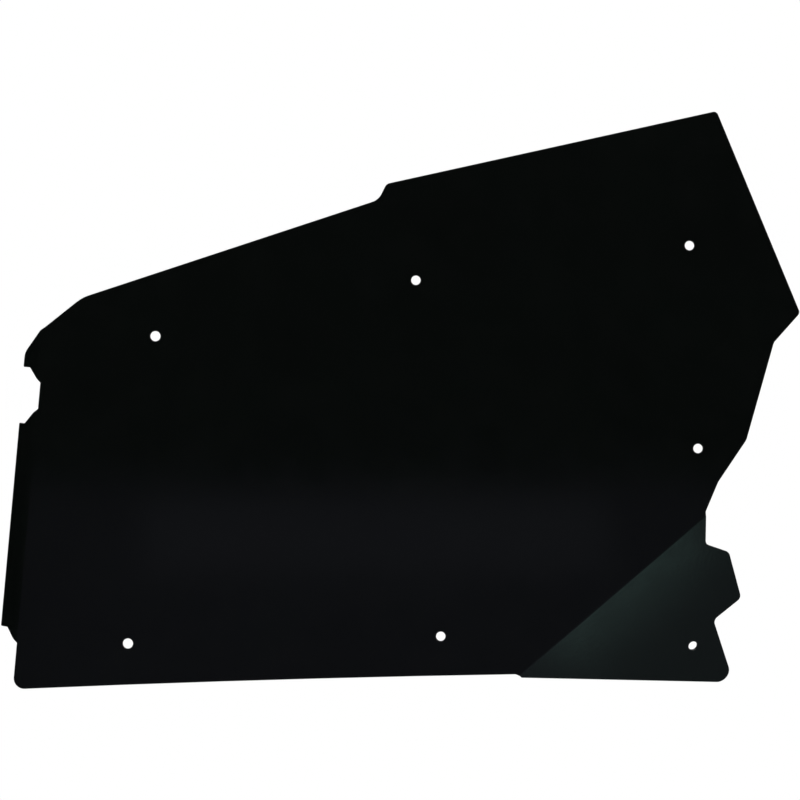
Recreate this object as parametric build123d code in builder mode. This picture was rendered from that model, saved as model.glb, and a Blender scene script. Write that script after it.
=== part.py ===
from build123d import *
import os

# Kick plate: one panel of sheet aluminium, cut flat, then folded back along its
# left edge (two tabs) and across its lower right corner (one flange). It is
# bolted on through seven plain holes.
#
# Millimetres. Seen from the front, X is to the right and Z is up. The back face
# of the panel lies in the plane Y = 0 and the front face looks along -Y. The
# origin is the axis of the lower left hole at the back face.

# Sheet and folds; the bend radius is the same at every fold
sheet = 2.0
inside_radius = 4.0
outside_radius = inside_radius + sheet
tab_angle = 45.0
flange_angle = 25.0

# Holes in the face, (x, z): the two on the left are a looser fit than the others
loose_hole_radius = 3.9
loose_holes = [(0.0, 0.0), (21.0, 234.8)]
close_hole_radius = 3.6
close_holes = [(220.0, 277.5), (429.0, 304.0), (435.5, 149.0), (239.0, 5.5)]

# Lines on the face where the bends start, walked anticlockwise round the face
left_fold = [(-63.0, 242.0), (-88.0, -35.0)]
corner_fold = [(297.5, -24.0), (441.5, 99.5)]

# The lower edge of the face is a long shallow arc from the foot of the left fold
lower_edge_end = (296.0, -23.5)
lower_edge_hollow = 1.3
lower_left_radius = 8.0

# Face outline from the corner fold round to the left fold: ((x, z), corner radius)
face_corners = [
    ((441.5, 101.0), 0.0),
    ((451.0, 123.5), 0.0),
    ((472.5, 155.5), 10.0),
    ((493.5, 230.0), 5.0),
    ((513.5, 252.5), 4.0),
    ((449.7, 406.8), 3.5),
    ((197.5, 351.2), 5.5),
    ((191.5, 339.0), 12.0),
    ((-35.0, 264.3), 30.0),
]

# Each flange has a root, the stretch of its fold where the bend starts, and the
# outline of its flat leg: ((distance along the fold, reach past the bend), radius).
# The sloping ends of the tabs are the relief notches beside the folds.
upper_tab_root = (0.0, 43.0)
upper_tab_corners = [
    ((3.5, 0.0), 0.0),
    ((21.0, 16.0), 10.0),
    ((32.0, 16.0), 1.0),
    ((32.0, 8.0), 0.0),
    ((39.0, 0.0), 0.0),
]
lower_tab_root = (63.0, 242.5)
lower_tab_corners = [
    ((67.0, 0.0), 0.0),
    ((75.0, 8.5), 0.0),
    ((75.0, 15.0), 1.0),
    ((231.5, 15.0), 1.0),
    ((231.5, 7.0), 0.0),
    ((238.5, 0.0), 0.0),
]
corner_flange_root = (0.0, 189.7)
corner_flange_corners = [
    ((1.0, 0.0), 0.0),
    ((1.0, 1.5), 0.0),
    ((123.0, 129.2), 9.0),
    ((142.0, 74.0), 5.0),
    ((169.5, 75.0), 5.0),
    ((184.5, 37.0), 5.0),
    ((174.5, 18.0), 5.0),
    ((188.0, 0.0), 0.0),
]
corner_flange_hole = (117.0, 79.5)

front_skin = Plane.XZ.offset(sheet)


def round_corners(corners):
    """Round the corners of the sketch being drawn, each by its own radius."""
    for point, radius in corners:
        if radius > 0:
            fillet(vertices().sort_by_distance(point)[0], radius)


def fold_plane(fold):
    """The front skin at a fold: x along the fold, y away from the face, z back."""
    start, end = (front_skin.from_local_coords((x, z, 0)) for x, z in fold)
    return Plane(start, x_dir=end - start, z_dir=(0, 1, 0))


def leg_plane(fold, angle):
    """The front skin of the leg, starting from the line where the bend ends."""
    bend_axis = Location((0, 0, outside_radius))
    turn = Location((0, 0, 0), (angle, 0, 0))
    return Plane(fold_plane(fold).location * bend_axis * turn * bend_axis.inverse())


def cross_section(plane):
    """The plane across the sheet at a bend line: x along the fold, y into the sheet."""
    return Plane(plane.origin, x_dir=plane.x_dir, z_dir=-plane.y_dir)


def make_bend(fold, angle, root, leg_corners):
    """The curved strip between the face and a leg, its two ends cut square to the sheet."""
    start = fold_plane(fold)
    end = leg_plane(fold, angle)
    leg_root = (leg_corners[0][0][0], leg_corners[-1][0][0])
    bend_axis = Axis(start.from_local_coords((0, 0, outside_radius)), start.x_dir)
    with BuildPart() as bend:
        with BuildSketch(cross_section(start)):
            with Locations((sum(root) / 2, sheet / 2)):
                Rectangle(root[1] - root[0], sheet)
        revolve(axis=bend_axis, revolution_arc=angle)
        # Trim the ends, which slope from the face's outline to the leg's
        for plane, (low, high) in ((start, root), (end, leg_root)):
            with BuildSketch(cross_section(plane)):
                with Locations(((low + high) / 2, sheet / 2)):
                    Rectangle(high - low, 2 * sheet)
        loft(ruled=True, mode=Mode.INTERSECT)
    return bend.part


def make_leg(fold, angle, corners):
    """The flat part of a flange, past its bend."""
    with BuildPart() as leg:
        with BuildSketch(leg_plane(fold, angle)):
            with BuildLine():
                Polyline(*(point for point, radius in corners), close=True)
            make_face()
            round_corners(corners)
        extrude(amount=sheet)
    return leg.part


flanges = [
    (left_fold, tab_angle, upper_tab_root, upper_tab_corners),
    (left_fold, tab_angle, lower_tab_root, lower_tab_corners),
    (corner_fold, flange_angle, corner_flange_root, corner_flange_corners),
]

with BuildPart() as kick_plate:
    # Flat face
    with BuildSketch(front_skin):
        with BuildLine():
            SagittaArc(left_fold[1], lower_edge_end, lower_edge_hollow)
            Polyline(lower_edge_end, *corner_fold, *(point for point, radius in face_corners), *left_fold)
        make_face()
        round_corners([(left_fold[1], lower_left_radius)] + face_corners)
    extrude(amount=-sheet)

    # Flanges, folded from the same sheet
    for fold, angle, root, corners in flanges:
        add(make_bend(fold, angle, root, corners))
        add(make_leg(fold, angle, corners))

    # Bolt holes in the face
    with BuildSketch(front_skin):
        with Locations(*loose_holes):
            Circle(loose_hole_radius)
        with Locations(*close_holes):
            Circle(close_hole_radius)
    extrude(amount=-sheet, mode=Mode.SUBTRACT)

    # Bolt hole in the corner flange, square to the flange
    with BuildSketch(leg_plane(corner_fold, flange_angle)):
        with Locations(corner_flange_hole):
            Circle(close_hole_radius)
    extrude(amount=sheet, mode=Mode.SUBTRACT)

kick_plate.part.label = "kick_plate"
os.makedirs("parts", exist_ok=True)
export_step(kick_plate.part, "parts/kick_plate.step")
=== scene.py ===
import math

import bpy
from mathutils import Matrix, Vector


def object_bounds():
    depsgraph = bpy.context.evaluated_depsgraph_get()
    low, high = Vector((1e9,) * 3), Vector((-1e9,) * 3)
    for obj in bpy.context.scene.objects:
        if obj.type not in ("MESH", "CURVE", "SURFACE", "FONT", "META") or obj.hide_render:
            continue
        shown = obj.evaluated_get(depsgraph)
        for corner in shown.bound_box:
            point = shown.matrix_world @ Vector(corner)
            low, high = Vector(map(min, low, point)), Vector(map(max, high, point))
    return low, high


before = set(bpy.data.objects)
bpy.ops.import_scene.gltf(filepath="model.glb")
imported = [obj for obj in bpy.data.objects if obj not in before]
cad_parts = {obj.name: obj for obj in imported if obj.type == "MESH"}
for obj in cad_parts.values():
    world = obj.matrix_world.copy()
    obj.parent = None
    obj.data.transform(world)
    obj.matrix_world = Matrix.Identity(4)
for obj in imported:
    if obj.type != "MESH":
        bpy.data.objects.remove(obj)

cad_box = [list(corner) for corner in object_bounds()]
low, high = (Vector(corner) for corner in cad_box)
centre = (low + high) / 2
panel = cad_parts["kick_plate"]
scene = bpy.context.scene
MILLIMETRE = 0.001


# ---- node helpers ----


def live_input(node, name):
    """The input that is in use, where a node has several of one name."""
    return next(s for s in node.inputs if s.name == name and s.enabled)


def live_output(node):
    return next(s for s in node.outputs if s.enabled)


def noise(tree, place, features_per_metre, detail, roughness):
    node = tree.nodes.new("ShaderNodeTexNoise")
    node.inputs["Scale"].default_value = features_per_metre
    node.inputs["Detail"].default_value = detail
    node.inputs["Roughness"].default_value = roughness
    tree.links.new(place, node.inputs["Vector"])
    return node.outputs["Fac"]


def ramp(tree, value, start, end, at_start, at_end, smooth=False):
    node = tree.nodes.new("ShaderNodeMapRange")
    node.interpolation_type = "SMOOTHSTEP" if smooth else "LINEAR"
    node.inputs["From Min"].default_value = start
    node.inputs["From Max"].default_value = end
    node.inputs["To Min"].default_value = at_start
    node.inputs["To Max"].default_value = at_end
    tree.links.new(value, node.inputs["Value"])
    return node.outputs["Result"]


def bump(tree, height, depth, below=None):
    """A bump of this depth, on top of the bumped normal below it if there is one."""
    node = tree.nodes.new("ShaderNodeBump")
    node.inputs["Strength"].default_value = 1.0
    node.inputs["Distance"].default_value = depth
    tree.links.new(height, node.inputs["Height"])
    if below is not None:
        tree.links.new(below, node.inputs["Normal"])
    return node.outputs["Normal"]


# ---- powder coat ----

# Features per metre
CLOUDS = 14
GLOSS_PATCHES = 45
ORANGE_PEEL = 420
GRAIN = 1900

# A noise value seldom leaves this range
NOISE_LOW, NOISE_HIGH = 0.3, 0.7

# How far the mottle goes from the darkest tint to the palest
GRAIN_SHARE, CLOUD_SHARE = 0.6, 0.4
DARKEST, PALEST = 0.75, 1.25

# The grain is this much shallower than the orange peel
GRAIN_TO_PEEL = 0.2


def powder_coat(name, colour, roughness, roughness_spread, peel_depth):
    """Baked black powder.

    Its colour is cloudy with a fine mottle, its gloss is uneven, and its surface has
    orange peel and a finer grain.
    """
    material = bpy.data.materials.new(name)
    material.use_nodes = True
    tree = material.node_tree
    shader = tree.nodes["Principled BSDF"]
    shader.inputs["IOR"].default_value = 1.5
    shader.inputs["Specular IOR Level"].default_value = 0.5
    coordinates = tree.nodes.new("ShaderNodeTexCoord")
    place = coordinates.outputs["Object"]

    clouds = noise(tree, place, CLOUDS, 3, 0.5)
    peel = noise(tree, place, ORANGE_PEEL, 1, 0.4)
    grain = noise(tree, place, GRAIN, 2, 0.5)

    mottle = tree.nodes.new("ShaderNodeMath")
    mottle.operation = "MULTIPLY_ADD"
    tree.links.new(grain, mottle.inputs[0])
    mottle.inputs[1].default_value = GRAIN_SHARE
    cloudiness = ramp(tree, clouds, NOISE_LOW, NOISE_HIGH, 0.0, CLOUD_SHARE)
    tree.links.new(cloudiness, mottle.inputs[2])
    tint = tree.nodes.new("ShaderNodeMix")
    tint.data_type = "RGBA"
    live_input(tint, "A").default_value = (*[DARKEST * channel for channel in colour], 1)
    live_input(tint, "B").default_value = (*[PALEST * channel for channel in colour], 1)
    tree.links.new(mottle.outputs["Value"], live_input(tint, "Factor"))
    tree.links.new(live_output(tint), shader.inputs["Base Color"])

    gloss = noise(tree, place, GLOSS_PATCHES, 4, 0.6)
    shiniest, dullest = roughness - roughness_spread, roughness + roughness_spread
    uneven = ramp(tree, gloss, NOISE_LOW, NOISE_HIGH, shiniest, dullest)
    tree.links.new(uneven, shader.inputs["Roughness"])

    skin = bump(tree, peel, peel_depth)
    fine_skin = bump(tree, grain, peel_depth * GRAIN_TO_PEEL, skin)
    tree.links.new(fine_skin, shader.inputs["Normal"])
    return material


face_coat = powder_coat(
    "powder_coat",
    colour=(0.0020, 0.0032, 0.0026),
    roughness=0.22,
    roughness_spread=0.04,
    peel_depth=0.045 * MILLIMETRE,
)
edge_coat = powder_coat(
    "powder_coat_edge",
    colour=(0.0055, 0.0075, 0.0066),
    roughness=0.30,
    roughness_spread=0.08,
    peel_depth=0.035 * MILLIMETRE,
)
panel.material_slots[0].material = face_coat
panel.data.materials.append(edge_coat)
EDGE_SLOT = 1


# ---- cut edges, rounded by the film of powder ----

weld = panel.modifiers.new("weld", "WELD")
weld.merge_threshold = 0.02 * MILLIMETRE
flats = panel.modifiers.new("flats", "DECIMATE")
flats.decimate_type = "DISSOLVE"
flats.angle_limit = math.radians(0.05)
film = panel.modifiers.new("rounded_film", "BEVEL")
film.width = 0.3 * MILLIMETRE
film.segments = 3
film.limit_method = "ANGLE"
film.angle_limit = math.radians(40)
# One very short edge at a relief corner would clamp the width everywhere
film.use_clamp_overlap = False
film.loop_slide = False
film.material = EDGE_SLOT
shading = panel.modifiers.new("shading", "WEIGHTED_NORMAL")
shading.mode = "FACE_AREA"
shading.weight = 100


# ---- room ----
# It is white to the camera. In reflections it is dark in front, and paler below, behind
# and above.

room = bpy.data.worlds.new("studio")
scene.world = room
room.use_nodes = True
room_tree = room.node_tree
room_tree.nodes.clear()
direction = room_tree.nodes.new("ShaderNodeTexCoord")
axes = room_tree.nodes.new("ShaderNodeSeparateXYZ")
room_tree.links.new(direction.outputs["Generated"], axes.inputs["Vector"])
WHITE = (1, 1, 1)


def background(colour):
    node = room_tree.nodes.new("ShaderNodeBackground")
    node.inputs["Color"].default_value = (*colour, 1)
    return node


def layer(axis, start, end, at_start, at_end, colour=WHITE):
    """One layer of the room's light, which grows or fades along an axis."""
    node = background(colour)
    strength = ramp(room_tree, axes.outputs[axis], start, end, at_start, at_end, smooth=True)
    room_tree.links.new(strength, node.inputs["Strength"])
    return node.outputs["Background"]


def both(first, second):
    node = room_tree.nodes.new("ShaderNodeAddShader")
    room_tree.links.new(first, node.inputs[0])
    room_tree.links.new(second, node.inputs[1])
    return node.outputs["Shader"]


in_front = layer("Y", -0.7, -0.1, 0.0125, 0.004, (0.95, 1.0, 1.0))
below = layer("Z", -0.65, -0.1, 0.13, 0.0, (0.78, 1.0, 1.1))
behind = layer("Y", 0.3, 0.9, 0.0, 0.16)
above = layer("Z", 0.12, 0.75, 0.0, 0.4)
paper = background(WHITE)
paper.inputs["Strength"].default_value = 1.0
path = room_tree.nodes.new("ShaderNodeLightPath")
seen = room_tree.nodes.new("ShaderNodeMixShader")
room_tree.links.new(path.outputs["Is Camera Ray"], seen.inputs["Fac"])
room_tree.links.new(both(both(in_front, below), both(behind, above)), seen.inputs[1])
room_tree.links.new(paper.outputs["Background"], seen.inputs[2])
room_output = room_tree.nodes.new("ShaderNodeOutputWorld")
room_tree.links.new(seen.outputs["Shader"], room_output.inputs["Surface"])


# ---- floor, well below the panel, which hangs by its hole ----

FLOOR_DROP = 1.0
FLOOR_HALF_WIDTH = 12
FLOOR_NEAR, FLOOR_FAR = -12, 6
floor_height = low.z - FLOOR_DROP
floor_left, floor_right = centre.x - FLOOR_HALF_WIDTH, centre.x + FLOOR_HALF_WIDTH
floor_mesh = bpy.data.meshes.new("floor")
floor_mesh.from_pydata(
    [
        (floor_left, FLOOR_NEAR, floor_height),
        (floor_right, FLOOR_NEAR, floor_height),
        (floor_right, FLOOR_FAR, floor_height),
        (floor_left, FLOOR_FAR, floor_height),
    ],
    [],
    [(0, 1, 2, 3)],
)
floor = bpy.data.objects.new("floor", floor_mesh)
floor.visible_glossy = False
scene.collection.objects.link(floor)
pale = bpy.data.materials.new("pale_floor")
pale.use_nodes = True
pale_shader = pale.node_tree.nodes["Principled BSDF"]
pale_shader.inputs["Base Color"].default_value = (0.85, 0.85, 0.84, 1)
pale_shader.inputs["Roughness"].default_value = 0.9
pale_shader.inputs["Specular IOR Level"].default_value = 0.0
floor_mesh.materials.append(pale)


# ---- lights ----

overhead_data = bpy.data.lights.new("overhead", "SUN")
overhead_data.energy = 2.5
overhead_data.angle = math.radians(70)
overhead = bpy.data.objects.new("overhead", overhead_data)
scene.collection.objects.link(overhead)


def soft_card(name, place, target, along, length, width, power, colour):
    """A glowing card that faces target, with its long side as near to along as it can be."""
    data = bpy.data.lights.new(name, "AREA")
    data.shape = "RECTANGLE"
    data.size = length
    data.size_y = width
    data.energy = power
    data.color = colour
    backward = (place - target).normalized()
    side = (along - backward * backward.dot(along)).normalized()
    turn = Matrix((side, backward.cross(side), backward)).transposed()
    card = bpy.data.objects.new(name, data)
    card.matrix_world = Matrix.Translation(place) @ turn.to_4x4()
    scene.collection.objects.link(card)
    return card


def front_card(name, place, length, width, power, colour):
    """A level card in front of the face, turned square to it."""
    away = Vector((0, 1, 0))
    across = Vector((1, 0, 0))
    return soft_card(name, place, place + away, across, length, width, power, colour)


# A wide card low in front gives the face its paler lower half, and a narrow one its paler
# band. They stand in different planes, because two cards in one plane hide each other.
cards_x = centre.x - 0.02
front_card(
    "low_card",
    Vector((cards_x, -0.21, low.z - 0.068)),
    length=0.62,
    width=0.44,
    power=0.053,
    colour=(0.72, 0.62, 1.0),
)
front_card(
    "band_card",
    Vector((cards_x, -0.17, low.z + 0.110)),
    length=0.38,
    width=0.06,
    power=0.0038,
    colour=(0.8, 0.83, 1.0),
)

# A greenish card lies where the corner flange mirrors the camera, so the flange glows
# beside its fold.
fold_middle = Vector((high.x - 0.134, 0.002, low.z + 0.075))
fold_along = Vector((0.759, 0, 0.651))
flange_mirror = Vector((0.50, -0.64, -0.58))
FOLD_CARD_DISTANCE = 0.3
FOLD_CARD_SHIFT = 0.006
fold_card = soft_card(
    "fold_card",
    fold_middle + FOLD_CARD_DISTANCE * flange_mirror + FOLD_CARD_SHIFT * fold_along,
    fold_middle,
    fold_along,
    length=0.165,
    width=0.08,
    power=0.0023,
    colour=(0.55, 0.97, 0.87),
)
fold_card.data.spread = math.radians(60)


# ---- camera ----

CAMERA_DISTANCE = 2.4
lens = bpy.data.cameras.new("camera")
lens.sensor_width = 36
lens.lens = 141.4
camera = bpy.data.objects.new("camera", lens)
camera.location = (centre.x + 0.0007, low.y - CAMERA_DISTANCE, centre.z + 0.0002)
camera.rotation_euler = (math.radians(90), 0, 0)
scene.collection.objects.link(camera)
scene.camera = camera
scene.view_settings.view_transform = "Standard"
